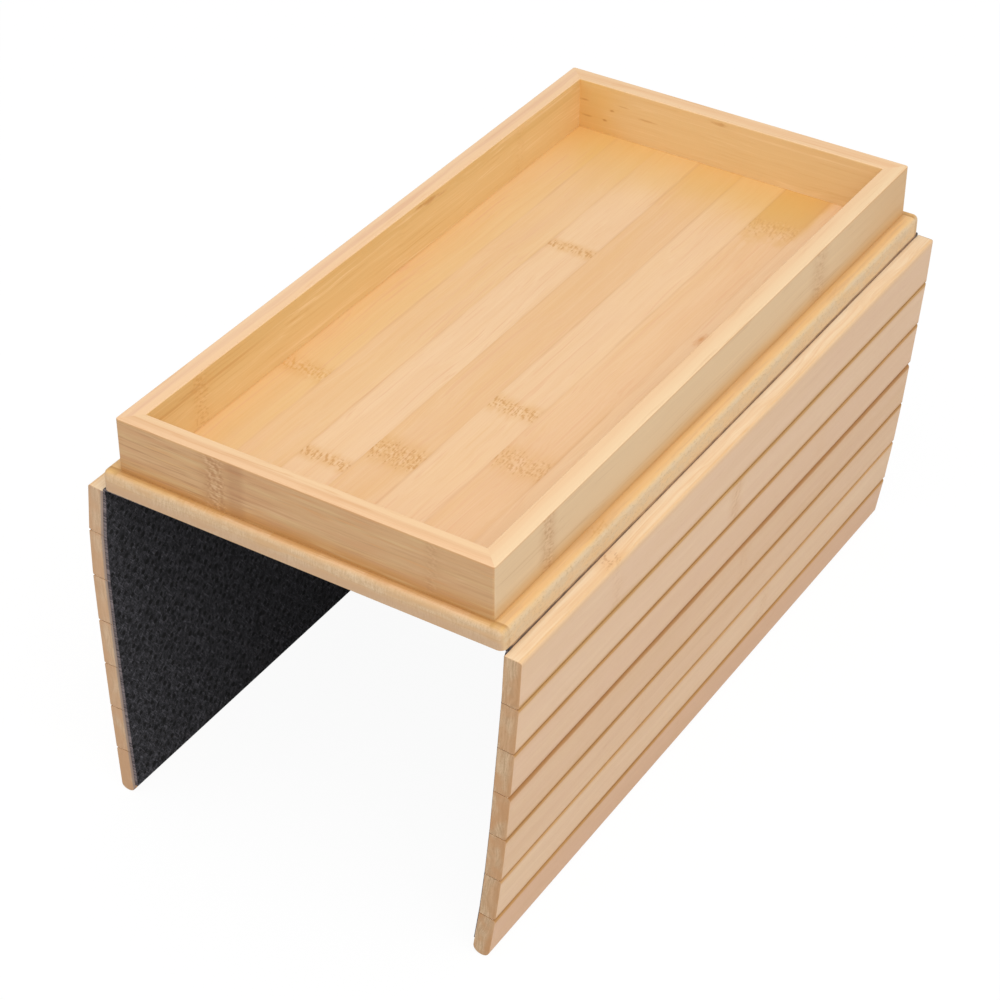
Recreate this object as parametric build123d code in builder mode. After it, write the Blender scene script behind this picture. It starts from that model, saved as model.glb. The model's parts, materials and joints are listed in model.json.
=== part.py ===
from build123d import *
import os
from math import cos, radians, sin, tan

# Sofa arm tray. A shallow bamboo tray stands on a board, and a flap of seven bamboo slats hangs
# from each long side of the board, over the sides of a sofa arm. One sheet of felt is glued under
# the board and to the inner faces of the slats, and the bare felt between them makes the hinges.
# Lengths are in millimetres and angles in degrees.
# X runs across the arm, Y along the arm and Z up.
# The origin is the centre of the felt face that rests on the top of the arm.

# Four mitred rails around the tray
tray_length = 300.0
tray_width = 152.0
rail_thickness = 7.6
rail_height = 21.8
rail_edge_radius = 0.5
tray_corner_radius = 1.1
mitre_overrun = 2.0

# Board under the rails, which is also the tray's floor, and its ledges outside the rails
board_thickness = 8.0
end_ledge = 3.5
side_ledge = 5.5
board_edge_radius = 2.0
board_corner_radius = 2.6

# Slats of the two flaps
slat_width = 19.7
slat_thickness = 6.6
slat_gap = 0.4
slat_end_radius = 0.5
nose_radius_share = 0.47

# Radius of each slat's outer edge above and below, from the board down
right_top_radii = (1.0, 0.6, 0.9, 1.9, 0.8, 1.2, 1.2)
right_bottom_radii = (0.6, 0.8, 1.7, 0.8, 1.1, 1.3)
left_top_radii = (1.0, 0.8, 0.7, 1.2, 0.9, 0.8, 1.1)
left_bottom_radii = (0.7, 1.0, 0.8, 1.1, 0.8, 1.0)

# Felt: the sheet, and the clearances where it folds
felt_thickness = 1.3
felt_end_inset = 1.5
felt_nose_margin = 0.5
tuck_clearance = 0.15
curl_clearance = 0.18

# How far outside the board's side the first slat's inner face hangs, and the gap that is left
# between the board and that slat when the flap is lifted level
flap_standoff = 0.25
seam_clearance = 0.3

# How far each slat leans in from plumb as it hangs
right_lean_angles = (2.7, 4.2, 4.4, 4.4, 5.4, 6.6, 8.3)
left_lean_angles = (-5.1, -1.5, 0.9, 1.4, 1.7, 2.3, 2.4)

# How far a flap tucks under the board from plumb, and how far one slat bends from the next
tuck_angle = 60.0
curl_angle = 45.0

# Heights and lengths that follow
board_length = tray_length + 2 * end_ledge
board_width = tray_width + 2 * side_ledge
board_bottom = felt_thickness
board_top = board_bottom + board_thickness
felt_middle = felt_thickness / 2
felt_length = board_length - 2 * felt_end_inset

# The first hinge lies in the middle of the felt, just inside the board's side
hinge_inset = felt_middle - flap_standoff
seam_reach = hinge_inset + seam_clearance

# The felt is slit at the other hinges, so that its bare corners clear each other in a full bend
felt_slit = 2 * (felt_middle * tan(radians(curl_angle / 2)) + curl_clearance)

# The felt thins towards the seam, so that its two faces just meet when a flap is tucked under
fold_half_angle = radians((90 - tuck_angle) / 2)
fold_slope = tan(fold_half_angle)
fold_slack = tuck_clearance / cos(fold_half_angle)
taper_reach = (felt_middle + fold_slack) / fold_slope
base_seam_felt = felt_middle - hinge_inset * fold_slope - fold_slack
strip_seam_felt = felt_middle + seam_reach * fold_slope - fold_slack

RIGHT = 1
LEFT = -1


def slat_start(index):
    # How far below its hinge a slat starts
    return seam_reach if index == 0 else slat_gap / 2


def hinge_points(side, lean_angles):
    # Centre of each hinge, in the middle of the felt and of the gap, from the board down
    x = side * (board_width / 2 - hinge_inset)
    z = felt_middle
    points = [(x, z)]
    for index, lean in enumerate(lean_angles[:-1]):
        reach = slat_start(index) + slat_width + slat_gap / 2
        x = x - side * reach * sin(radians(lean))
        z = z - reach * cos(radians(lean))
        points.append((x, z))
    return points


def slat_plane(side, hinge, lean):
    # Across a slat: local X points out of the flap and local Y down the flap, from its hinge
    outward = (side * cos(radians(lean)), 0, -sin(radians(lean)))
    return Plane(origin=(hinge[0], 0, hinge[1]), x_dir=outward, z_dir=(0, side, 0))


def make_board():
    with BuildPart() as board:
        with BuildSketch(Plane.XY.offset(board_bottom)):
            RectangleRounded(board_width, board_length, board_corner_radius)
        extrude(amount=board_thickness)
        top_edges = board.faces().sort_by(Axis.Z)[-1].edges()
        fillet(top_edges, radius=board_edge_radius)
    return board.part


def make_rail_ring():
    # The whole frame of rails before the mitres part it
    with BuildPart() as ring:
        with BuildSketch(Plane.XY.offset(board_top)):
            RectangleRounded(tray_width, tray_length, tray_corner_radius)
            Rectangle(tray_width - 2 * rail_thickness, tray_length - 2 * rail_thickness, mode=Mode.SUBTRACT)
        extrude(amount=rail_height)
        top_edges = ring.faces().sort_by(Axis.Z)[-1].edges()
        fillet(top_edges, radius=rail_edge_radius)
    return ring.part


def make_rail(ring, along, across, turn):
    # One rail of the ring: along and across are the tray's sizes as that rail sees them
    outer_half = along / 2 + mitre_overrun
    inner_half = along / 2 - rail_thickness - mitre_overrun
    outer_edge = across / 2 + mitre_overrun
    inner_edge = across / 2 - rail_thickness - mitre_overrun
    plan = Plane(origin=(0, 0, board_top), x_dir=(cos(radians(turn)), sin(radians(turn)), 0))
    with BuildPart() as rail:
        add(ring)
        with BuildSketch(plan):
            with BuildLine():
                Polyline(
                    (-outer_half, -outer_edge),
                    (outer_half, -outer_edge),
                    (inner_half, -inner_edge),
                    (-inner_half, -inner_edge),
                    close=True,
                )
            make_face()
        extrude(amount=rail_height, mode=Mode.INTERSECT)
    return rail.part


def make_slat(plane, start, top_radius, bottom_radius):
    # The lowest slat has no bottom radius: its lower edge is rounded to a nose on both sides
    middle = (felt_middle + slat_thickness / 2, start + slat_width / 2)
    end_plane = Plane(origin=plane.origin, x_dir=plane.x_dir, z_dir=plane.y_dir)
    with BuildPart() as slat:
        with BuildSketch(plane) as section:
            with Locations(middle):
                Rectangle(slat_thickness, slat_width)
            fillet(section.vertices().group_by(Axis.X)[-1].sort_by(Axis.Y)[0], radius=top_radius)
            low_corners = section.vertices().group_by(Axis.Y)[-1]
            if bottom_radius is None:
                fillet(low_corners, radius=nose_radius_share * slat_thickness)
            else:
                fillet(low_corners.sort_by(Axis.X)[-1], radius=bottom_radius)
        extrude(amount=board_length / 2, both=True)
        with BuildSketch(end_plane) as ends:
            with Locations((middle[0], 0)):
                Rectangle(slat_thickness, board_length)
            fillet(ends.vertices().group_by(Axis.X)[-1], radius=slat_end_radius)
        extrude(amount=start + slat_width, mode=Mode.INTERSECT)
    return slat.part


def make_felt_base():
    half = board_width / 2
    flat_half = half - hinge_inset - taper_reach
    seam_height = board_bottom - base_seam_felt
    with BuildPart() as felt:
        with BuildSketch(Plane.XZ):
            with BuildLine():
                Polyline(
                    (-half, board_bottom),
                    (half, board_bottom),
                    (half, seam_height),
                    (flat_half, 0),
                    (-flat_half, 0),
                    (-half, seam_height),
                    close=True,
                )
            make_face()
        extrude(amount=felt_length / 2, both=True)
    return felt.part


def make_felt_strip(plane, index, count):
    glued = felt_middle
    bare = -felt_middle
    slat_end = slat_start(index) + slat_width
    if index == count - 1:
        low_end = slat_end - nose_radius_share * slat_thickness - felt_nose_margin
    else:
        low_end = slat_end + slat_gap / 2 - felt_slit / 2
    if index == 0:
        high_points = [(glued, seam_reach), (glued - strip_seam_felt, seam_reach), (bare, taper_reach)]
    else:
        high_points = [(glued, felt_slit / 2), (bare, felt_slit / 2)]
    with BuildPart() as strip:
        with BuildSketch(plane):
            with BuildLine():
                Polyline(*high_points, (bare, low_end), (glued, low_end), close=True)
            make_face()
        extrude(amount=felt_length / 2, both=True)
    return strip.part


def save(part, name):
    part.label = name
    export_step(part, f"parts/{name}.step")


def make_flap(side_name, side, lean_angles, top_radii, bottom_radii):
    hinges = hinge_points(side, lean_angles)
    count = len(lean_angles)
    for index in range(count):
        plane = slat_plane(side, hinges[index], lean_angles[index])
        bottom_radius = bottom_radii[index] if index < count - 1 else None
        slat = make_slat(plane, slat_start(index), top_radii[index], bottom_radius)
        save(slat, f"{side_name}_slat_{index + 1}")
        save(make_felt_strip(plane, index, count), f"{side_name}_felt_{index + 1}")


os.makedirs("parts", exist_ok=True)

save(make_board(), "base_board")
rail_ring = make_rail_ring()
save(make_rail(rail_ring, tray_width, tray_length, 0), "front_rail")
save(make_rail(rail_ring, tray_length, tray_width, 90), "right_rail")
save(make_rail(rail_ring, tray_width, tray_length, 180), "back_rail")
save(make_rail(rail_ring, tray_length, tray_width, 270), "left_rail")
save(make_felt_base(), "felt_base")
make_flap("right", RIGHT, right_lean_angles, right_top_radii, right_bottom_radii)
make_flap("left", LEFT, left_lean_angles, left_top_radii, left_bottom_radii)
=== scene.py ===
import json
from math import cos, radians, sin

import bmesh
import bpy
from mathutils import Matrix, Vector


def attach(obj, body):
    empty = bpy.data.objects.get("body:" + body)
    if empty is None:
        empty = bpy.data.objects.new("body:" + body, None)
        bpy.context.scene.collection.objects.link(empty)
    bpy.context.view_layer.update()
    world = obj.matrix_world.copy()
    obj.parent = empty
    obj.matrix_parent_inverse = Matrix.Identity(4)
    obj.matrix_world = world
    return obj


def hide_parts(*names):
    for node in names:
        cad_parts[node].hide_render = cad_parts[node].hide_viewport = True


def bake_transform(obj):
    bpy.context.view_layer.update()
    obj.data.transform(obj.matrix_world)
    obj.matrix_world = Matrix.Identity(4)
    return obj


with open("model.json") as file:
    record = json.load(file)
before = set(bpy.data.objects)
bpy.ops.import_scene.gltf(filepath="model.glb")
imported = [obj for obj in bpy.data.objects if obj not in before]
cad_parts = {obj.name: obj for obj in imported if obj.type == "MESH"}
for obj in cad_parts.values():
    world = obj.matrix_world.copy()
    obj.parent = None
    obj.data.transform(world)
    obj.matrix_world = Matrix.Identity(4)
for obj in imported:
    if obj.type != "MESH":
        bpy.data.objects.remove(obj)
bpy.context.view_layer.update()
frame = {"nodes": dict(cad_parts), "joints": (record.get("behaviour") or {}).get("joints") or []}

# Sofa arm tray: a bamboo tray on a board, and a flap of seven bamboo slats hanging from each long
# side on one sheet of felt. Sizes are in millimetres here and in the finishes, and in metres for
# Blender's objects and for the frame.

MM = 0.001
TRAY_HALF_WIDTH = 76.0
TRAY_HALF_LENGTH = 150.0
RAIL_THICKNESS = 7.6
BOARD_HALF_WIDTH = 81.5
BOARD_HALF_LENGTH = 153.5
BOARD_TOP = 9.3
BOARD_LAYERS_MEET = 5.3
RAIL_TOP = 31.1
FLOOR_HEIGHT = -141.2

SLAT_WIDTH = 19.7
SLAT_GAP = 0.4
SLAT_FACE = 7.25
SEAM = 0.7
NOSE = 3.1
LEANS = {
    "right": (2.7, 4.2, 4.4, 4.4, 5.4, 6.6, 8.3),
    "left": (-5.1, -1.5, 0.9, 1.4, 1.7, 2.3, 2.4),
}
SIDES = {"right": 1, "left": -1}

# The felt's distances are measured along the flat sheet, from its middle
FELT = 1.3
FELT_HALF_LENGTH = 152.0
FOLD_START = 40.0
FIRST_HINGE = 81.1
SEAM_MIDDLE = 81.4
FELT_SLIDES = {"right": 0.7, "left": -1.3}
SLIDE_START = 78.1
SLIDE_REACH = 3.0
BEND_POINTS = (0.35, 0.7)

# The felt's dimples: how far apart they are along a row, and the rows from each other
DIMPLE_PITCH = 5.9
ROW_PITCH = 3.1
DIMPLES_BEFORE = 100
ROWS_BEFORE = 200

# The camera's turn, tilt and roll, in degrees; its distance from the middle of the rails' top edge, and
# how far it is shifted across and up, in metres; and its lens
CAMERA_TURN = 32.24037
CAMERA_TILT = 36.73749
CAMERA_ROLL = 0.17911
CAMERA_DISTANCE = 0.978428
CAMERA_ACROSS = -0.014449
CAMERA_UP = -0.0788225
CAMERA_LENS = 97.0128


# Shader maths

def paint(red, green, blue):
    """A colour as mixed on a palette, from 0 to 255, for a shader."""
    def plain(value):
        share = value / 255
        return share / 12.92 if share <= 0.04045 else ((share + 0.055) / 1.055) ** 2.4
    return (plain(red), plain(green), plain(blue), 1.0)


class Field:
    """A value that changes over a surface, with the arithmetic that the finishes use."""

    def __init__(self, finish, socket):
        self.finish = finish
        self.socket = socket

    def maths(self, operation, *others):
        sockets = dict(enumerate((self, *others)))
        return self.finish.node("ShaderNodeMath", {"operation": operation}, sockets)

    def __add__(self, other):
        return self.maths("ADD", other)

    __radd__ = __add__

    def __sub__(self, other):
        return self.maths("SUBTRACT", other)

    def __rsub__(self, other):
        return self.finish.node("ShaderNodeMath", {"operation": "SUBTRACT"}, {0: other, 1: self})

    def __mul__(self, other):
        return self.maths("MULTIPLY", other)

    __rmul__ = __mul__

    def __truediv__(self, other):
        return self.maths("DIVIDE", other)

    def __abs__(self):
        return self.maths("ABSOLUTE")

    def at_least(self, other):
        return self.maths("MAXIMUM", other)

    def above(self, other):
        return self.maths("GREATER_THAN", other)

    def whole(self):
        return self.maths("FLOOR")

    def rise(self, low, high):
        """Goes smoothly from 0 at low to 1 at high."""
        return self.finish.node(
            "ShaderNodeMapRange",
            {"interpolation_type": "SMOOTHSTEP", "clamp": True},
            {"Value": self, "From Min": low, "From Max": high, "To Min": 0.0, "To Max": 1.0},
        )

    def near(self, place, inner, outer):
        """Is 1 within inner of a place and falls to 0 at outer."""
        return 1 - abs(self - place).rise(inner, outer)


class Finish:
    """One material and its nodes."""

    def __init__(self, name):
        self.material = bpy.data.materials.new(name)
        self.material.use_nodes = True
        self.tree = self.material.node_tree
        self.tree.nodes.clear()

    def node(self, kind, settings=None, sockets=None, output=0):
        """Adds a node, sets it up, then gives its sockets their values or links."""
        made = self.tree.nodes.new(kind)
        for name, value in (settings or {}).items():
            if name == "stops":
                self.stops(made.color_ramp, value)
            else:
                setattr(made, name, value)
        for key, value in (sockets or {}).items():
            if isinstance(value, Field):
                self.tree.links.new(value.socket, made.inputs[key])
            else:
                made.inputs[key].default_value = value
        return Field(self, made.outputs[output]) if made.outputs else None

    def stops(self, ramp, stops):
        ramp.interpolation = "CONSTANT"
        while len(ramp.elements) < len(stops):
            ramp.elements.new(1.0)
        for element, (place, colour) in zip(ramp.elements, stops):
            element.position = place
            element.color = colour

    def place(self):
        """Where a point of the piece is, in millimetres."""
        metres = self.node("ShaderNodeTexCoord", {}, {}, "Object")
        return self.node("ShaderNodeVectorMath", {"operation": "SCALE"}, {0: metres, "Scale": 1 / MM})

    def parts(self, vector):
        split = self.node("ShaderNodeSeparateXYZ", {}, {0: vector})
        outputs = split.socket.node.outputs
        return [Field(self, outputs[index]) for index in range(3)]

    def join(self, x, y, z):
        return self.node("ShaderNodeCombineXYZ", {}, {0: x, 1: y, 2: z})

    def shift(self, vector, drift):
        """Moves a pattern sideways, by the same field along each axis."""
        drifts = self.join(drift, drift, drift)
        return self.node("ShaderNodeVectorMath", {"operation": "ADD"}, {0: vector, 1: drifts})

    def noise(self, vector, scale, detail=2.0, roughness=0.5, seed=0.0):
        """Soft random patches, 0 to 1; scale is how many to a millimetre along each axis."""
        moved = self.node(
            "ShaderNodeMapping", {"vector_type": "POINT"},
            {"Vector": vector, "Location": (seed, 1.7 * seed, 2.3 * seed), "Scale": scale},
        )
        return self.node(
            "ShaderNodeTexNoise", {"noise_dimensions": "3D"},
            {"Vector": moved, "Scale": 1.0, "Detail": detail, "Roughness": roughness},
        )

    def mix(self, factor, first, second):
        return self.node(
            "ShaderNodeMix", {"data_type": "RGBA", "blend_type": "MIX", "clamp_factor": True},
            {0: factor, 6: first, 7: second}, 2,
        )

    def skin(self, colour, roughness, height, depth, strength, fixed):
        """Joins colour, gloss and relief into the surface."""
        sockets = {"Strength": strength, "Distance": depth, "Height": height}
        relief = self.node("ShaderNodeBump", {}, sockets)
        surface = self.node(
            "ShaderNodeBsdfPrincipled", {},
            {"Base Color": colour, "Roughness": roughness, "Normal": relief, **fixed},
        )
        self.node("ShaderNodeOutputMaterial", {}, {"Surface": surface})
        return self.material


# Bamboo

PAINTED_GAP_LIGHT = paint(255, 236, 208)
PALE = paint(252, 217, 174)
HONEY = paint(239, 192, 136)
GOLD = paint(238, 196, 124)
ROSE = paint(238, 194, 158)
AMBER = paint(214, 156, 84)
BARK = paint(166, 112, 60)


def along_run(run, across, along):
    """The scale of a pattern that is drawn out along the fibres."""
    scale = [across, across, across]
    scale["xyz".index(run)] = along
    return scale


def fibres(finish, place, run, seed):
    """Fibre along a strip: broad, middling and fine streaks that waver a little, and short dark flecks."""
    bow = finish.noise(place, along_run(run, 0.05, 0.016), 1.0, 0.5, seed + 40.0)
    ripple = finish.noise(place, along_run(run, 0.2, 0.05), 1.0, 0.5, seed + 43.0)
    drift = 5.0 * (bow - 0.5) + 1.3 * (ripple - 0.5)
    wavy = finish.shift(place, drift)
    broad = finish.noise(wavy, along_run(run, 0.3, 0.005), 3.0, 0.55, seed)
    middling = finish.noise(wavy, along_run(run, 0.8, 0.008), 2.0, 0.55, seed + 1.9)
    fine = finish.noise(wavy, along_run(run, 1.6, 0.013), 2.0, 0.6, seed + 3.1)
    fleck = finish.noise(wavy, along_run(run, 2.4, 0.16), 2.0, 0.6, seed + 8.9).rise(0.58, 0.76)
    return broad, middling, fine, fleck


def streaks(fibre, strength=1.0):
    """The fibres added up into one tone, about 0."""
    broad, middling, fine = fibre[:3]
    return strength * (0.8 * (broad - 0.5) + 0.75 * (middling - 0.5) + 0.75 * (fine - 0.5))


def knuckle(finish, along, across, half, seed):
    """A joint of the culm, from the distance along the strip to its middle and its half width. It gives
    the brown ends of its broken fibres with painted shadow along their curls, a painted highlight on the
    pale fibres between them, and the tint of the wood round it."""
    flat = finish.join(along, across, seed)
    sway = (finish.noise(flat, (0.0, 0.13, 0.0), 1.0, 0.5, seed) - 0.5) * 4.0
    tooth = (finish.noise(flat, (0.03, 1.2, 0.0), 2.0, 0.7, seed + 2.0) - 0.5) * half * 2.0
    away = abs(along + sway + tooth) / half
    zone = 1 - away.rise(0.5, 1.0)
    moved = finish.join(along + 0.9, across + 0.45, seed)
    curl, beyond = (
        finish.noise(start, (0.36, 0.75, 0.0), 2.0, 0.65, seed + 4.0) for start in (flat, moved)
    )
    torn_and_shadowed = zone * (curl - beyond).rise(0.0, 0.15)
    pale = zone * (beyond - curl).rise(0.0, 0.15)
    around = finish.noise(flat, (0.12, 0.35, 0.0), 2.0, 0.6, seed + 6.0)
    tint = (1 - (abs(along + sway + 0.4 * tooth) / half * 0.5).rise(0.2, 1.0)) * around.rise(0.2, 0.6)
    return torn_and_shadowed, pale, tint


def knuckled(finish, colour, joint, torn_and_shadowed, tinted, strength=1.0):
    """Lays a knuckle over a colour."""
    colour = finish.mix(0.6 * strength * joint[2], colour, tinted)
    # The dark marks are partly painted shadow, and the pale ones a painted highlight
    colour = finish.mix(0.75 * strength * joint[0], colour, torn_and_shadowed)
    return finish.mix(0.3 * strength * joint[1], colour, PALE)


def spotted(finish, colour, along, across, spots, shade):
    """Lays small knots and smears over a colour, each from its place, its half length and width in
    millimetres, and its strength."""
    for index, (place, height, length, width, strength) in enumerate(spots):
        flat = finish.join(along, across, 3.0 * index)
        rough = finish.noise(flat, (0.35, 0.9, 1.0), 2.0, 0.6, 5.0 + index)
        lengthwise = (along - place) / length
        crosswise = (across - height) / width
        away = (lengthwise * lengthwise + crosswise * crosswise).maths("SQRT") + 1.2 * (rough - 0.5)
        colour = finish.mix(strength * (1 - away.rise(0.1, 1.0)), colour, shade)
    return colour


def wood_skin(finish, colour, fibre, relief):
    middling, fine, fleck = fibre[1:]
    roughness = 0.44 + 0.14 * fine + 0.04 * fleck + 0.1 * middling
    height = relief + 0.6 * fine + 0.4 * middling - 0.15 * fleck
    return finish.skin(colour, roughness, height, 0.00005, 0.5, {"Specular IOR Level": 0.4})


UPPER_LINES = (-68.4, -49.4, -30.6, -10.9, 8.75, 28.1, 48.1, 67.7)
LOWER_LINES = (-61.3, -41.9, -22.5, -3.1, 16.9, 36.5, 56.1, 75.7)
FAR = 400.0

# Each strip of the board's upper layer, from the left: how pale, how golden and how rosy it is, and
# then two knuckles, each with its place along the tray, its half width in millimetres and its strength
UPPER_STRIPS = (
    ((0.40, 0.60, 0.20), (60.0, 5.0, 0.6), (FAR, 5.0, 0.0)),
    ((0.62, 0.80, 0.00), (-65.0, 4.4, 0.8), (FAR, 5.0, 0.0)),
    ((0.50, 0.38, 0.30), (-150.0, 4.0, 0.5), (FAR, 5.0, 0.0)),
    ((0.74, 0.12, 0.50), (-106.5, 3.2, 0.95), (57.0, 3.0, 0.95)),
    ((0.20, 0.10, 0.40), (-91.5, 6.6, 1.0), (FAR, 5.0, 0.0)),
    ((0.72, 0.14, 0.50), (-46.5, 4.2, 0.95), (FAR, 5.0, 0.0)),
    ((0.42, 0.05, 0.50), (-73.0, 6.4, 0.7), (112.0, 7.0, 0.5)),
    ((0.74, 0.05, 0.45), (150.0, 4.0, 0.6), (FAR, 5.0, 0.0)),
    ((0.66, 0.45, 0.20), (-91.0, 5.6, 0.9), (84.0, 5.0, 0.3)),
)

# Small knots and smears on the tray's floor, each with its place along and across the tray, its half
# length and half width, and its strength
FLOOR_KNOTS = (
    (28.0, 52.4, 7.0, 2.8, 0.45), (28.6, 52.2, 2.8, 1.0, 0.6),
    (-71.0, 56.0, 5.0, 2.0, 0.45), (97.0, 73.0, 3.0, 1.2, 0.3),
)


def strip_number(across, lines):
    count = across.above(lines[0])
    for line in lines[1:]:
        count = count + across.above(line)
    return count


def glue_lines(across, lines, inner, outer):
    shown = across.near(lines[0], inner, outer)
    for line in lines[1:]:
        shown = shown.at_least(across.near(line, inner, outer))
    return shown


def table(finish, number, column):
    """Reads one column of the table of strips, three values together, by the strip's number. They are
    stored as shares of a range that holds them all."""
    count = len(UPPER_STRIPS)
    stops = []
    for index, strip in enumerate(UPPER_STRIPS):
        values = [(value + 500) / 1000 for value in strip[column]]
        stops.append((index / count, (*values, 1.0)))
    ramp = finish.node("ShaderNodeValToRGB", {"stops": stops}, {0: (number + 0.5) / count})
    split = finish.node("ShaderNodeSeparateColor", {}, {0: ramp})
    outputs = split.socket.node.outputs
    return [1000 * Field(finish, outputs[index]) - 500 for index in range(3)]


def board_finish():
    finish = Finish("bamboo_board")
    place = finish.place()
    x, y, z = finish.parts(place)
    number = strip_number(x, UPPER_LINES)
    paleness, gold, rose = table(finish, number, 0)
    own = finish.join(x, y + 61.0 * number, z + 7.3 * number)
    fibre = fibres(finish, own, "y", 1.0)
    patch = finish.noise(own, (0.06, 0.011, 0.05), 2.0, 0.5, 21.0)
    blush = finish.noise(own, (0.12, 0.02, 0.05), 2.0, 0.5, 23.0)

    tone = paleness + streaks(fibre, 1.05) + 0.45 * (patch - 0.5)
    colour = finish.mix(tone, HONEY, PALE)
    colour = finish.mix(0.6 * gold, colour, GOLD)
    colour = finish.mix(0.5 * rose + 0.5 * (blush - 0.5), colour, ROSE)
    colour = finish.mix(0.55 * fibre[1].rise(0.52, 0.72), colour, paint(236, 184, 138))
    colour = finish.mix(0.06 * fibre[3], colour, AMBER)

    # Towards the back the boards are more golden, and one strip is stained amber
    inside_x = abs(x).rise(69.0, 68.0)
    stain = finish.noise(place, (0.03, 0.02, 0.03), 2.0, 0.5, 27.0)
    golden = (y + 60.0 * (stain - 0.5)).rise(88.0, 146.0) * x.rise(56.0, 40.0) * inside_x
    colour = finish.mix(0.6 * golden, colour, paint(234, 188, 100))
    cloud = finish.noise(place, (0.16, 0.1, 0.05), 3.0, 0.6, 25.0) - 0.5
    seventh = x.above(UPPER_LINES[5])
    amber_strip = seventh * (x + 3.0 * cloud).rise(51.0, 47.0) * (y + 34.0 * cloud).rise(98.0, 118.0)
    colour = finish.mix(0.62 * amber_strip, colour, paint(226, 176, 94))
    rosy_strip = seventh * x.rise(48.6, 47.8) * y.near(-73.0, 6.0, 34.0)
    colour = finish.mix(0.2 * rosy_strip, colour, paint(232, 182, 136))

    relief = 0.0
    for column in (1, 2):
        spot, half, strength = table(finish, number, column)
        joint = knuckle(finish, y - spot, x, half, 2.0 + 4.0 * column)
        torn_and_shadowed = finish.mix(gold, paint(208, 150, 88), paint(226, 170, 84))
        colour = knuckled(finish, colour, joint, torn_and_shadowed, paint(230, 178, 112), strength)
        relief = 0.35 * strength * joint[0] + relief
    colour = spotted(finish, colour, y, x, FLOOR_KNOTS, paint(218, 152, 90))

    broken = finish.noise(place, (0.3, 0.025, 0.2), 2.0, 0.6, 29.0).rise(0.35, 0.7)
    not_end = abs(y).rise(BOARD_HALF_LENGTH - 0.5, BOARD_HALF_LENGTH - 3.0)
    lines = glue_lines(x, UPPER_LINES, 0.15, 1.1) * not_end
    colour = finish.mix((0.03 + 0.22 * broken) * lines, colour, paint(208, 152, 102))

    # Painted shade at the feet of the rails, with their glue lines, on the ledge outside them and on the
    # floor inside them; the ledge also has golden and brown patches of its own
    outside_x = abs(x) - TRAY_HALF_WIDTH
    outside_y = abs(y) - TRAY_HALF_LENGTH
    foot_streak = finish.noise(place, (0.07, 1.9, 0.6), 3.0, 0.65, 35.0)
    front_foot = 1 - (outside_y + 4.2 * (foot_streak - 0.5)).rise(0.0, 3.9)
    colour = finish.mix(0.8 * front_foot * outside_y.above(-0.5), colour, paint(196, 144, 74))
    side_streak = finish.noise(place, (1.1, 0.03, 0.6), 2.0, 0.6, 36.0)
    side_foot = (outside_x + 3.0 * (side_streak - 0.5)).rise(2.6, 0.0) * outside_x.above(-0.5)
    ledge_patch = finish.noise(place, (0.5, 0.035, 0.2), 3.0, 0.6, 38.0)
    ledge = outside_x.above(-0.5)
    colour = finish.mix(0.45 * ledge * ledge_patch.rise(0.3, 0.6), colour, paint(240, 196, 122))
    colour = finish.mix(0.5 * ledge * ledge_patch.rise(0.55, 0.36), colour, paint(222, 180, 126))
    colour = finish.mix(0.6 * side_foot * (0.2 + 1.4 * side_streak), colour, paint(204, 158, 94))
    # Painted shade in a thin dark line along the feet of the rails
    colour = finish.mix(0.12 * outside_x.near(0.0, 0.05, 0.6), colour, BARK)
    colour = finish.mix(0.4 * outside_y.near(0.0, 0.1, 0.9), colour, BARK)
    # Painted shade on the floor along the inner feet of the rails
    inside = (outside_x + RAIL_THICKNESS).at_least(outside_y + RAIL_THICKNESS)
    colour = finish.mix(0.28 * inside.near(0.0, 0.05, 0.9), colour, paint(206, 150, 82))

    # Sides of the board, greyer than its top, and the two layers at its ends
    mottle = finish.noise(place, (0.3, 0.12, 0.3), 3.0, 0.6, 37.0)
    side = abs(x).rise(BOARD_HALF_WIDTH - 1.5, BOARD_HALF_WIDTH - 0.1)
    colour = finish.mix(side * (0.5 + 0.5 * mottle.rise(0.35, 0.65)), colour, paint(228, 200, 162))
    grit = finish.noise(place, (1.3, 0.6, 1.3), 3.0, 0.7, 39.0)
    colour = finish.mix(0.5 * side * grit.rise(0.5, 0.68), colour, paint(198, 164, 122))
    end_number = strip_number(x, LOWER_LINES)
    grain = finish.noise(finish.join(x, 4.0 * end_number, z), (1.7, 1.0, 0.35), 3.0, 0.65, 31.0)
    speck = finish.noise(place, (2.2, 1.0, 1.6), 2.0, 0.6, 32.0)
    end_patch = finish.noise(place, (0.07, 0.2, 0.3), 2.0, 0.5, 33.0)
    speckled = (0.6 * grain + 0.4 * speck).rise(0.32, 0.68)
    end_colour = finish.mix(speckled, paint(212, 176, 134), paint(238, 208, 170))
    end_colour = finish.mix(end_patch.rise(0.35, 0.7), end_colour, paint(224, 182, 134))
    lower_layer = z.rise(BOARD_LAYERS_MEET + 1.1, BOARD_LAYERS_MEET - 1.9)
    end_colour = finish.mix(0.6 * lower_layer, end_colour, paint(206, 168, 134))
    end_colour = finish.mix(0.3 * z.rise(7.6, 9.1), end_colour, paint(222, 178, 122))
    upper_layer = z.above(BOARD_LAYERS_MEET)
    end_glue = lines * upper_layer + glue_lines(x, LOWER_LINES, 0.05, 0.3) * (1 - upper_layer)
    end_colour = finish.mix(0.07 * end_glue, end_colour, BARK)
    end_colour = finish.mix(0.1 * z.near(BOARD_LAYERS_MEET, 0.05, 0.4), end_colour, BARK)
    end = abs(y).rise(BOARD_HALF_LENGTH - 1.3, BOARD_HALF_LENGTH - 0.2)
    colour = finish.mix(end, colour, end_colour)
    return wood_skin(finish, colour, fibre, relief - 0.15 * lines)
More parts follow.
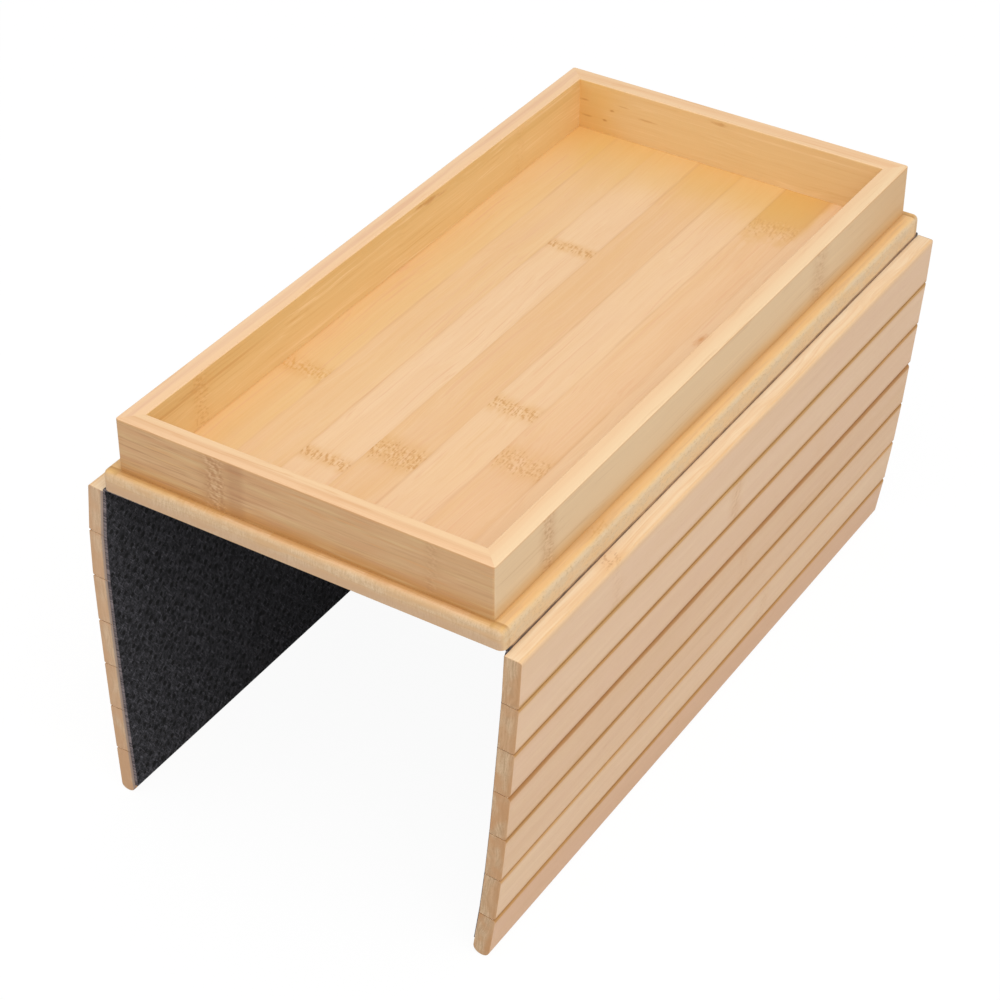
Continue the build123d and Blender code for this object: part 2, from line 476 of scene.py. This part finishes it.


# Each rail: the axis it runs along and the side it stands on; the colours of its outer face above and at
# its foot, the foot's being painted amber light bounced from the ledge; of its inner face below and at its
# top, and of its top edge's outer lip, middle and inner lip; its knuckles, with their places, half widths
# and strengths; and the spots on its inner face, with their places, heights, half lengths, half widths and
# strengths
RAILS = {
    "front_rail": (
        "x", -1,
        (paint(216, 172, 124), paint(208, 152, 88)), (paint(240, 204, 146), paint(232, 194, 134)),
        (paint(246, 200, 154), paint(236, 188, 140), paint(247, 207, 160)),
        ((-34.5, 4.6, 1.0), (52.0, 2.4, 0.35)), (),
    ),
    "right_rail": (
        "y", 1,
        (paint(229, 197, 155), paint(222, 180, 126)), (paint(240, 204, 146), paint(232, 194, 134)),
        (paint(250, 216, 171), paint(247, 210, 164), paint(244, 202, 155)),
        ((-118.0, 3.6, 0.6), (75.0, 5.0, 0.4)), (),
    ),
    "back_rail": (
        "x", 1,
        (paint(222, 180, 132), paint(214, 160, 98)), (paint(239, 205, 149), paint(238, 202, 146)),
        (paint(247, 206, 160), paint(242, 194, 146), paint(249, 208, 162)),
        (),
        (
            (-56.3, 6.1, 1.6, 0.6, 0.7), (-53.0, 11.4, 1.4, 0.7, 0.65), (-36.0, 11.4, 6.0, 0.6, 0.4),
            (-66.0, 13.0, 3.0, 0.7, 0.5), (-64.5, 6.0, 3.5, 0.7, 0.5), (-3.4, 19.9, 4.5, 1.2, 0.5),
            (-48.0, 14.6, 4.0, 0.5, 0.4),
        ),
    ),
    "left_rail": (
        "y", -1,
        (paint(226, 192, 146), paint(226, 176, 116)), (paint(237, 201, 140), paint(226, 188, 122)),
        (paint(247, 206, 163), paint(237, 190, 152), paint(250, 206, 160)),
        ((-113.0, 4.6, 0.55), (96.0, 3.0, 0.2)),
        (
            (31.0, 19.4, 9.0, 1.6, 0.6), (24.0, 20.0, 4.0, 0.8, 0.5), (40.0, 18.6, 6.0, 0.8, 0.4),
            (-118.0, 17.0, 10.0, 0.8, 0.4),
        ),
    ),
}


def rail_finish(name):
    run, side, outer_face, inner_face, layers, joints, spots = RAILS[name]
    finish = Finish("bamboo_" + name)
    place = finish.place()
    x, y, z = finish.parts(place)
    seed = 3.0 + 7.0 * list(RAILS).index(name)
    along, across = (x, y) if run == "x" else (y, x)
    half = TRAY_HALF_LENGTH if run == "x" else TRAY_HALF_WIDTH
    depth = half - side * across
    height = z - BOARD_TOP
    fibre = fibres(finish, place, run, seed)
    patch = finish.noise(place, along_run(run, 0.08, 0.014), 2.0, 0.5, seed + 11.0)
    tone = streaks(fibre) + 0.4 * (patch - 0.5)

    # Outer face, warmer towards its foot with painted amber light bounced from the ledge
    foot = height.rise(8.5, 0.5)
    outer = finish.mix(foot, outer_face[0], outer_face[1])
    outer = finish.mix(0.5 * (0.5 + tone).rise(0.5, 1.1), outer, paint(242, 212, 170))
    outer = finish.mix(0.6 * (0.5 - tone).rise(0.5, 1.2), outer, paint(190, 140, 92))
    if name == "right_rail":
        far_end = (along + 40.0 * (patch - 0.5)).rise(70.0, 150.0)
        outer = finish.mix(0.55 * far_end, outer, paint(220, 174, 118))
    if run == "x":
        tan = finish.noise(place, (0.03, 0.34, 0.34), 2.0, 0.6, seed + 47.0)
        outer = finish.mix(0.6 * tan.rise(0.5, 0.7), outer, paint(222, 186, 134))
        outer = finish.mix(0.5 * tan.rise(0.5, 0.3), outer, paint(210, 156, 110))
        streak = finish.noise(place, (0.036, 1.1, 1.1), 3.0, 0.68, seed + 41.0).rise(0.45, 0.7)
        outer = finish.mix(streak * (0.28 + 0.3 * along.rise(-5.0, -30.0)), outer, paint(180, 126, 84))
        rust = finish.noise(place, (0.04, 0.6, 0.65), 2.0, 0.6, seed + 45.0).rise(0.58, 0.75)
        outer = finish.mix(0.45 * rust, outer, paint(220, 158, 98))

    # Inner face, with a darker band under its top edge
    band = height.rise(15.4, 16.6)
    inner = finish.mix(band * (0.55 + 0.9 * (fibre[1] - 0.5)), inner_face[0], inner_face[1])
    inner = finish.mix((0.5 + tone).rise(0.5, 1.0), inner, paint(250, 218, 168))
    strength = 0.5 if name == "back_rail" else 0.85
    inner = finish.mix(strength * (0.5 - 1.2 * tone).rise(0.5, 1.25), inner, paint(214, 166, 94))
    if name == "back_rail":
        left_end = (along + 30.0 * (patch - 0.5)).rise(-38.0, -60.0)
        inner = finish.mix(0.6 * left_end, inner, paint(236, 192, 112))
    if name == "left_rail":
        under_band = height.near(15.7, 0.1, 0.9) * along.rise(-60.0, -95.0)
        inner = finish.mix(0.5 * under_band, inner, paint(206, 152, 80))

    for index, (spot, width, strength) in enumerate(joints):
        joint = knuckle(finish, along - spot, height, width, seed + 20.0 + index)
        outer = knuckled(finish, outer, joint, paint(186, 134, 88), paint(196, 148, 102), strength)
        inner = knuckled(finish, inner, joint, paint(204, 150, 78), paint(226, 176, 104), 0.8 * strength)
        if name == "front_rail" and index == 0:
            beside_it = (along - spot + 4.0 * (fibre[1] - 0.5)).near(8.6, 1.2, 5.0)
            outer = finish.mix(0.55 * beside_it * (0.7 + fibre[2] - 0.5), outer, paint(180, 128, 86))
    inner = spotted(finish, inner, along, height, spots, paint(192, 134, 68))

    # Top edge
    wander = depth + 2.4 * (fibre[1] - 0.5) + 1.6 * (fibre[0] - 0.5)
    top = finish.mix(wander.rise(3.0, 5.0), layers[0], layers[2])
    top = finish.mix(0.85 * wander.near(3.4, 0.3, 1.9), top, layers[1])
    top = finish.mix(0.5 * (0.35 + 1.6 * tone).at_least(0.0), top, PALE)
    top = finish.mix(0.4 * (0.5 - 1.4 * tone).rise(0.55, 1.1), top, paint(224, 168, 112))

    inward = depth.rise(RAIL_THICKNESS - 0.5, RAIL_THICKNESS - 0.1)
    colour = finish.mix(inward, outer, inner)
    upward = height.rise(RAIL_TOP - BOARD_TOP - 0.35, RAIL_TOP - BOARD_TOP - 0.1)
    colour = finish.mix(upward, colour, top)
    edge = height.near(RAIL_TOP - BOARD_TOP - 0.45, 0.1, 0.6) * (1 - upward) * (1 - inward)
    colour = finish.mix(0.3 * edge, colour, paint(222, 160, 96))
    # Painted shade along the very foot of the outer face, where it meets the board
    colour = finish.mix(0.45 * height.rise(1.5, 0.1) * (1 - inward), colour, paint(202, 154, 90))
    return wood_skin(finish, colour, fibre, 0.3 * fibre[0])


# The grooves between the slats: how far the shade reaches from the gap, how strong it is, and its colour
GROOVES = {
    "ochre": (1.6, 0.95, paint(194, 144, 62)),
    "brown": (1.6, 1.0, paint(182, 128, 50)),
    "rust": (2.0, 1.0, paint(156, 96, 24)),
    "tan": (1.35, 0.85, paint(196, 146, 76)),
}

# Each slat: how pale and how rosy it is, where its knuckle is and how strong, and the groove above it
SLAT_LOOKS = {
    "right": (
        (0.62, 0.45, -92.0, 0.25, None),
        (0.70, 0.40, -4.0, 0.7, "ochre"),
        (0.50, 0.55, 70.0, 0.15, "brown"),
        (0.34, 0.35, 12.0, 0.35, "rust"),
        (0.46, 0.30, -60.0, 0.15, "brown"),
        (0.74, 0.20, 40.0, 0.3, "tan"),
        (0.10, 0.75, -20.0, 0.15, "brown"),
    ),
    "left": (
        (0.60, 0.35, 40.0, 0.4, None),
        (0.45, 0.55, -80.0, 0.3, "brown"),
        (0.66, 0.30, 110.0, 0.4, "ochre"),
        (0.50, 0.50, -20.0, 0.3, "brown"),
        (0.58, 0.35, 66.0, 0.4, "tan"),
        (0.42, 0.60, -118.0, 0.3, "rust"),
        (0.20, 0.75, 15.0, 0.3, "brown"),
    ),
}


def slat_finish(side_name, index, hinge, lean):
    """A slat's wood, measured out from the felt and down from its hinge."""
    side = SIDES[side_name]
    looks = SLAT_LOOKS[side_name]
    pale, rose, spot, strength, groove = looks[index]
    finish = Finish(f"bamboo_{side_name}_slat_{index + 1}")
    metres = finish.node("ShaderNodeTexCoord", {}, {}, "Object")
    local = finish.node(
        "ShaderNodeMapping", {"vector_type": "TEXTURE"},
        {
            "Vector": metres,
            "Location": hinge,
            "Rotation": (0.0, side * radians(lean), 0.0),
            "Scale": (side * MM, MM, -MM),
        },
    )
    out, y, down = finish.parts(local)
    seed = 60.0 + 5.0 * index + (0.0 if side > 0 else 50.0)
    fibre = fibres(finish, local, "y", seed)
    patch = finish.noise(local, (0.1, 0.013, 0.1), 2.0, 0.5, seed + 11.0)
    blush = finish.noise(local, (0.16, 0.03, 0.16), 2.0, 0.5, seed + 13.0)
    tone = pale + streaks(fibre, 0.7) + 0.4 * (patch - 0.5)
    face = finish.mix(tone, paint(222, 182, 140), paint(240, 208, 172))
    face = finish.mix(0.55 * rose + 0.5 * (blush - 0.5), face, paint(232, 192, 166))
    face = finish.mix(0.2 * fibre[3], face, paint(200, 150, 100))
    joint = knuckle(finish, y - spot, down, 3.4, seed + 1.5)
    face = knuckled(finish, face, joint, paint(202, 154, 108), paint(222, 178, 134), strength)

    # The dense skin of the culm is the outer third of the thickness
    skin = (out + 0.9 * (fibre[1] - 0.5)).rise(5.2, 6.6)
    edge = finish.mix(0.55 + streaks(fibre, 1.9), paint(243, 205, 160), paint(255, 231, 197))
    top_joint = knuckle(finish, y + 92.0, out, 5.0, seed + 2.5)
    edge = knuckled(finish, edge, top_joint, paint(208, 160, 116), paint(238, 190, 136), 0.7)
    edge = finish.mix(0.5 * skin, edge, paint(238, 190, 128))
    start = SEAM if index == 0 else SLAT_GAP / 2
    near_end = abs(y).rise(143.0, 151.0)
    # In the gaps between slats the edges are painted orange-brown, warm painted light in the shaded gaps,
    # and near the ends they are painted pale, painted light that lightens the gaps there
    if index > 0:
        edge = finish.mix(0.8, edge, paint(228, 166, 102))
        edge = finish.mix(0.9 * near_end * (down - start).near(0.0, 0.05, 0.3), edge, PAINTED_GAP_LIGHT)
    edge = finish.mix(0.9 * near_end * (down - start).near(SLAT_WIDTH, 0.05, 0.3), edge, PAINTED_GAP_LIGHT)
    flat = out.rise(SLAT_FACE - 0.75, SLAT_FACE - 0.06)
    colour = finish.mix(flat, edge, face)

    # Painted shade in the grooves above and below, with a darker core along each gap, and painted shade on
    # the first slat under the board's seam
    uneven = finish.noise(local, (0.3, 0.022, 0.3), 3.0, 0.6, seed + 15.0)
    groove_shade_zone = out.above(3.0 + 3.2 * near_end)
    if index > 0:
        reach, depth, shade = GROOVES[groove]
        inset = (down - start) / reach + 0.7 * (uneven - 0.5)
        colour = finish.mix(0.85 * depth * inset.rise(1.05, 0.4) * groove_shade_zone, colour, shade)
        colour = finish.mix(0.25 * depth * inset.rise(2.2, 0.8) * groove_shade_zone, colour, paint(222, 170, 110))
        # A darker core of painted shade right at the gap
        bottom = (down - start + 0.9 * (uneven - 0.5)).rise(0.5, 0.12)
        colour = finish.mix(0.32 * depth * bottom * groove_shade_zone, colour, paint(134, 78, 30))
    else:
        # Painted shade on the first slat just under the board's seam
        colour = finish.mix(0.35 * down.rise(start + 3.2, start + 0.4) * flat, colour, paint(236, 192, 132))
    if index < len(looks) - 1:
        reach, depth, shade = GROOVES[looks[index + 1][4]]
        inset = (start + SLAT_WIDTH - down) / reach + 0.6 * (uneven - 0.5)
        colour = finish.mix(0.9 * depth * inset.rise(1.0, 0.35) * groove_shade_zone, colour, shade)
        colour = finish.mix(0.25 * depth * inset.rise(2.0, 0.9) * groove_shade_zone, colour, paint(206, 158, 108))

    across_end = finish.join(out, down, 0.0)
    bend = finish.noise(across_end, (0.2, 0.08, 0.0), 1.0, 0.5, seed + 8.0)
    bent = finish.shift(across_end, 5.0 * (bend - 0.5))
    grain = finish.noise(bent, (1.7, 0.12, 0.0), 3.0, 0.6, seed + 9.0)
    pores = finish.noise(across_end, (2.4, 1.3, 0.0), 2.0, 0.6, seed + 10.0)
    warm = finish.noise(across_end, (0.14, 0.1, 0.0), 2.0, 0.5, seed + 12.0)
    speckled = (0.65 * grain + 0.35 * pores).rise(0.34, 0.66)
    end_colour = finish.mix(speckled, paint(190, 154, 116), paint(224, 192, 154))
    end_colour = finish.mix((1.0 - 0.7 * pale) * warm.rise(0.36, 0.6), end_colour, paint(202, 150, 102))
    end_colour = finish.mix(0.55 * out.rise(4.3, 6.6), end_colour, paint(198, 148, 100))
    end_colour = finish.mix(0.3 * pores.rise(0.6, 0.75), end_colour, paint(158, 112, 74))
    if side < 0:
        end_colour = finish.mix(0.3, end_colour, paint(224, 190, 158))
        lapped = (out + 0.5 * (pores - 0.5)).rise(2.1, 1.2)
        end_colour = finish.mix(0.75 * lapped, end_colour, paint(144, 130, 126))
    end = abs(y).rise(BOARD_HALF_LENGTH - 0.45, BOARD_HALF_LENGTH - 0.1)
    colour = finish.mix(end, colour, end_colour)
    return wood_skin(finish, colour, fibre, 0.3 * joint[0])


# Felt

def felt_finish():
    """Needled charcoal felt with staggered rows of dimples, painted near black as painted shade in their
    hollows, laid out on the flat sheet.
    """
    finish = Finish("felt")
    flat = finish.node("ShaderNodeUVMap", {"uv_map": "cloth"}, {})
    sheet = finish.node("ShaderNodeVectorMath", {"operation": "SCALE"}, {0: flat, "Scale": 1 / MM})
    along, down = finish.parts(sheet)[:2]
    from_row = down + ROWS_BEFORE * ROW_PITCH
    row = (from_row / ROW_PITCH).whole()
    shift = row.maths("MODULO", 2.0) * (DIMPLE_PITCH / 2)
    from_column = along + DIMPLES_BEFORE * DIMPLE_PITCH + shift
    column = (from_column / DIMPLE_PITCH).whole()
    number = finish.join(column, row, 0.0)
    chance = finish.node("ShaderNodeTexWhiteNoise", {"noise_dimensions": "2D"}, {"Vector": number}, 1)
    odd_x, odd_y, odd_size = finish.parts(chance)
    across_dot = from_column - (column + 0.5) * DIMPLE_PITCH + 2.4 * (odd_x - 0.5)
    down_dot = from_row - (row + 0.5) * ROW_PITCH + 1.5 * (odd_y - 0.5)
    fray = finish.noise(sheet, (1.6, 1.6, 1.0), 1.0, 0.5, 9.0)
    away = (across_dot * across_dot + down_dot * down_dot).maths("SQRT") + 0.5 * (fray - 0.5)
    dot = 1 - (away - 0.7 * (odd_size - 0.4)).rise(0.52, 0.96)

    clump = finish.noise(sheet, (0.7, 0.5, 1.0), 3.0, 0.6, 1.0)
    first = finish.node("ShaderNodeMapping", {}, {"Vector": sheet, "Rotation": (0.0, 0.0, 0.6)})
    second = finish.node("ShaderNodeMapping", {}, {"Vector": sheet, "Rotation": (0.0, 0.0, -0.9)})
    wisp = finish.noise(first, (1.9, 0.28, 1.0), 2.0, 0.6, 4.0).rise(0.54, 0.7)
    stray = finish.noise(second, (1.7, 0.24, 1.0), 2.0, 0.6, 6.0).rise(0.56, 0.72)
    fuzz = finish.noise(sheet, (2.4, 2.4, 1.0), 2.0, 0.65, 8.0)
    light = (0.7 * clump + 0.7 * fuzz + 0.26 * wisp + 0.22 * stray).rise(0.54, 1.22)
    colour = finish.mix(light, paint(20, 20, 23), paint(110, 108, 115))
    # The dimples are painted near black, painted shade in their hollows
    colour = finish.mix(0.97 * dot, colour, paint(3, 3, 4))
    # The cut ends are painted lighter, a painted highlight where the light falls on them
    cut = abs(along).rise(FELT_HALF_LENGTH - 0.12, FELT_HALF_LENGTH - 0.02)
    lit_cut_colour = finish.mix(fuzz.rise(0.36, 0.62), paint(70, 62, 66), paint(140, 128, 128))
    colour = finish.mix(cut, colour, lit_cut_colour)

    # In the seam beside the board the felt is painted brown, painted light in the shaded seam: a darker
    # core of painted shade, darker and wider towards the front end, with light tan patches of painted light
    # beside it
    glued = finish.node("ShaderNodeAttribute", {"attribute_name": "glued"}, {}, "Fac")
    off_middle = abs(abs(down) - SEAM_MIDDLE)
    not_end = abs(along).rise(FELT_HALF_LENGTH - 0.4, FELT_HALF_LENGTH - 4.0)
    seam = off_middle.rise(0.8, 0.4) * not_end * glued.above(0.5)
    seam_wobble = finish.noise(sheet, (0.22, 0.02, 1.0), 3.0, 0.7, 16.0)
    near_end = along.rise(-60.0, -145.0)
    wide = 0.12 + 0.1 * near_end
    # The core of the seam, which keeps the darker painted shade
    bare = 1 - (off_middle + 0.5 * (seam_wobble - 0.5) - wide).rise(-0.1, 0.12)
    seam_light_patches = finish.noise(sheet, (0.12, 1.0, 1.0), 3.0, 0.65, 12.0).rise(0.3, 0.6)
    shade = finish.mix(near_end, paint(116, 92, 72), paint(92, 74, 64))
    colour = finish.mix(0.9 * seam, colour, shade)
    colour = finish.mix(0.85 * seam * (1 - bare) * (0.5 + 0.5 * seam_light_patches), colour, paint(196, 156, 118))
    height = 0.5 * clump + 0.35 * fuzz + 0.3 * wisp - 0.25 * dot
    fixed = {"Specular IOR Level": 0.12, "Sheen Weight": 0.12, "Sheen Roughness": 0.5}
    return finish.skin(colour, 0.92 + 0.06 * fuzz, height, 0.0003, 0.6, fixed)


def felt_run(name, glued, bare, finish, slid=0.0):
    """A run of the felt, from the points of its glued face and of its bare face. Each point is x, z and its
    distance along the flat sheet, in millimetres. A flap's felt is glued a little along from its place."""
    shape = bmesh.new()
    glued_face = shape.verts.layers.float.new("glued")
    ring = glued + bare[::-1]
    corners = [shape.verts.new((x * MM, -FELT_HALF_LENGTH * MM, z * MM)) for x, z, _ in ring]
    for corner in corners[:len(glued)]:
        corner[glued_face] = 1.0
    cut = shape.faces.new(corners)
    drawn = bmesh.ops.extrude_face_region(shape, geom=[cut])
    far = [item for item in drawn["geom"] if isinstance(item, bmesh.types.BMVert)]
    bmesh.ops.translate(shape, verts=far, vec=(0.0, 2 * FELT_HALF_LENGTH * MM, 0.0))
    bmesh.ops.recalc_face_normals(shape, faces=shape.faces)
    layer = shape.loops.layers.uv.new("cloth")
    travelled = {}
    for vert in shape.verts:
        x, _, z = vert.co / MM
        nearest = min(ring, key=lambda point: (point[0] - x) ** 2 + (point[1] - z) ** 2)
        travelled[vert] = nearest[2]
    for face in shape.faces:
        for loop in face.loops:
            loop[layer].uv = (loop.vert.co.y, travelled[loop.vert] * MM)
    for vert, distance in travelled.items():
        share = min(max((distance - SLIDE_START) / SLIDE_REACH, 0.0), 1.0)
        vert.co.y += slid * share * MM
    mesh = bpy.data.meshes.new(name)
    shape.to_mesh(mesh)
    shape.free()
    mesh.materials.append(finish)
    piece = bpy.data.objects.new(name, mesh)
    bpy.context.scene.collection.objects.link(piece)
    return piece


def beside(hinge, side, lean, out, down):
    """A point in the cross-section: so far out of the flap and so far down it from a hinge."""
    angle = radians(lean)
    x = hinge[0] + side * (out * cos(angle) - down * sin(angle))
    z = hinge[1] - out * sin(angle) - down * cos(angle)
    return x, z


def make_felt():
    finish = felt_finish()
    middle = FELT / 2
    glued = [(-FOLD_START, FELT, -FOLD_START), (FOLD_START, FELT, FOLD_START)]
    bare = [(-FOLD_START, 0.0, -FOLD_START), (FOLD_START, 0.0, FOLD_START)]
    base = felt_run("felt_under_board", glued, bare, finish)
    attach(base, "tray")
    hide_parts("felt_base")
    for side_name, side in SIDES.items():
        make_flap_felt(side_name, side, finish, middle)


def make_flap_felt(side_name, side, finish, middle):
    leans = LEANS[side_name]
    hinges = hinge_places(side_name)
    half_slat = SLAT_WIDTH / 2
    half_way = SEAM + half_slat
    first = hinges[0]
    glued = [
        (side * FOLD_START, FELT, FOLD_START),
        (side * 80.2, FELT, 80.2),
        (side * 81.45, FELT, 81.0),
        (side * 81.72, 0.95, 81.2),
        (*beside(first, side, leans[0], middle, 0.35), 81.5),
        (*beside(first, side, leans[0], middle, 1.0), 82.1),
        (*beside(first, side, leans[0], middle, half_way), FIRST_HINGE + half_way),
    ]
    bare = [
        (side * FOLD_START, 0.0, FOLD_START),
        (side * 78.1, 0.0, 78.1),
        (side * 80.2, 0.42, 80.2),
        (side * 80.85, 0.62, 80.9),
        (*beside(first, side, leans[0], -0.04, 0.25), 81.4),
        (*beside(first, side, leans[0], -0.2, 1.0), 82.1),
        (*beside(first, side, leans[0], -middle, 3.0), 84.1),
        (*beside(first, side, leans[0], -middle, half_way), FIRST_HINGE + half_way),
    ]
    piece = felt_run(f"{side_name}_felt_fold", glued, bare, finish, FELT_SLIDES[side_name])
    centre = Vector((first[0] * MM, 0.0, first[1] * MM))
    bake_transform(piece)
    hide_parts(f"{side_name}_felt_1")

    travelled = FIRST_HINGE
    for index in range(1, len(leans)):
        above, below = leans[index - 1], leans[index]
        hinge, last = hinges[index], hinges[index - 1]
        reach = (SEAM if index == 1 else SLAT_GAP / 2) + SLAT_WIDTH + SLAT_GAP / 2
        travelled += reach
        rise = half_slat + SLAT_GAP / 2
        drop = rise if index < len(leans) - 1 else SLAT_GAP / 2 + SLAT_WIDTH - NOSE - 0.5
        between = (above + below) / 2
        faces = []
        for out in (middle, -middle):
            face = [
                (*beside(last, side, above, out, reach - t), travelled - t)
                for t in (rise, *BEND_POINTS[::-1])
            ]
            face.append((*beside(hinge, side, between, out, 0.0), travelled))
            face += [(*beside(hinge, side, below, out, t), travelled + t) for t in (*BEND_POINTS, drop)]
            faces.append(face)
        name = f"{side_name}_felt_bend_{index + 1}"
        piece = felt_run(name, *faces, finish, FELT_SLIDES[side_name])
        centre = Vector((hinge[0] * MM, 0.0, hinge[1] * MM))
        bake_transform(piece)
        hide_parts(f"{side_name}_felt_{index + 1}")


def hinge_places(side_name):
    """Across and up to each hinge of a flap, in millimetres, from the board down."""
    found = [joint["pos_m"] for joint in frame["joints"] if joint["name"].startswith(side_name)]
    return [(place[0] / MM, place[2] / MM) for place in found]


def coat(node, finish):
    materials = frame["nodes"][node].data.materials
    materials.clear()
    materials.append(finish)


def finish_wood():
    coat("base_board", board_finish())
    for name in RAILS:
        coat(name, rail_finish(name))
    for side_name in SIDES:
        hinges = hinge_places(side_name)
        for index, lean in enumerate(LEANS[side_name]):
            hinge = (hinges[index][0] * MM, 0.0, hinges[index][1] * MM)
            coat(f"{side_name}_slat_{index + 1}", slat_finish(side_name, index, hinge, lean))


# Floor, light and camera

def make_floor():
    shape = bmesh.new()
    bmesh.ops.create_grid(shape, x_segments=2, y_segments=2, size=4.0)
    mesh = bpy.data.meshes.new("floor")
    shape.to_mesh(mesh)
    shape.free()
    floor = bpy.data.objects.new("floor", mesh)
    floor.location = (0.0, 0.0, FLOOR_HEIGHT * MM)
    bpy.context.scene.collection.objects.link(floor)
    finish = Finish("pale_floor")
    plain = finish.node("ShaderNodeBsdfDiffuse", {}, {"Color": (0.8, 0.8, 0.8, 1.0)})
    soft = finish.node("ShaderNodeBsdfDiffuse", {}, {"Color": (0.07, 0.07, 0.07, 1.0)})
    white = finish.node("ShaderNodeEmission", {}, {"Color": (1.0, 1.0, 1.0, 1.0), "Strength": 0.945})
    seen = finish.node("ShaderNodeAddShader", {}, {0: soft, 1: white})
    camera_ray = finish.node("ShaderNodeLightPath", {}, {}, "Is Camera Ray")
    surface = finish.node("ShaderNodeMixShader", {}, {0: camera_ray, 1: plain, 2: seen})
    clear = finish.node("ShaderNodeBsdfTransparent", {}, {})
    below = finish.node("ShaderNodeNewGeometry", {}, {}, "Backfacing")
    surface = finish.node("ShaderNodeMixShader", {}, {0: below, 1: surface, 2: clear})
    finish.node("ShaderNodeOutputMaterial", {}, {"Surface": surface})
    mesh.materials.append(finish.material)


def make_world():
    world = bpy.data.worlds.new("studio")
    world.use_nodes = True
    bpy.context.scene.world = world
    tree = world.node_tree
    tree.nodes.clear()
    path = tree.nodes.new("ShaderNodeLightPath")
    grey = tree.nodes.new("ShaderNodeBackground")
    grey.inputs["Strength"].default_value = 0.65
    white = tree.nodes.new("ShaderNodeBackground")
    white.inputs["Strength"].default_value = 1.0
    for background in (grey, white):
        background.inputs["Color"].default_value = (1.0, 1.0, 1.0, 1.0)
    blend = tree.nodes.new("ShaderNodeMixShader")
    output = tree.nodes.new("ShaderNodeOutputWorld")
    tree.links.new(path.outputs["Is Camera Ray"], blend.inputs[0])
    tree.links.new(grey.outputs[0], blend.inputs[1])
    tree.links.new(white.outputs[0], blend.inputs[2])
    tree.links.new(blend.outputs[0], output.inputs["Surface"])


def soft_lamp(name, place, size, power):
    lamp = bpy.data.lights.new(name, "AREA")
    lamp.shape = "DISK"
    lamp.size = size
    lamp.energy = power
    made = bpy.data.objects.new(name, lamp)
    made.location = place
    aim = Vector((0.0, 0.0, -0.03)) - Vector(place)
    made.rotation_euler = aim.to_track_quat("-Z", "Y").to_euler()
    bpy.context.scene.collection.objects.link(made)


def make_camera():
    """Stands where the photographer did, found from the tray's own square corners."""
    turn, tilt, roll = radians(CAMERA_TURN), radians(CAMERA_TILT), radians(CAMERA_ROLL)
    back = Vector((sin(turn) * cos(tilt), -cos(turn) * cos(tilt), sin(tilt)))
    level = Vector((cos(turn), sin(turn), 0.0))
    above = back.cross(level)
    right = level * cos(roll) + above * sin(roll)
    up = above * cos(roll) - level * sin(roll)
    middle = Vector((0.0, 0.0, RAIL_TOP * MM))
    eye = back * CAMERA_DISTANCE + right * CAMERA_ACROSS + up * CAMERA_UP + middle
    lens = bpy.data.cameras.new("camera")
    lens.sensor_width = 36.0
    lens.lens = CAMERA_LENS
    lens.clip_start = 0.05
    lens.clip_end = 20.0
    camera = bpy.data.objects.new("camera", lens)
    camera.matrix_world = Matrix.Translation(eye) @ Matrix((right, up, back)).transposed().to_4x4()
    bpy.context.scene.collection.objects.link(camera)
    bpy.context.scene.camera = camera


finish_wood()
make_felt()
make_floor()
make_world()
soft_lamp("key", (0.75, -0.45, 1.25), 1.3, 9.5)
soft_lamp("fill", (-0.7, -0.9, 0.8), 1.2, 1.5)
make_camera()
bpy.context.scene.view_settings.view_transform = "Standard"
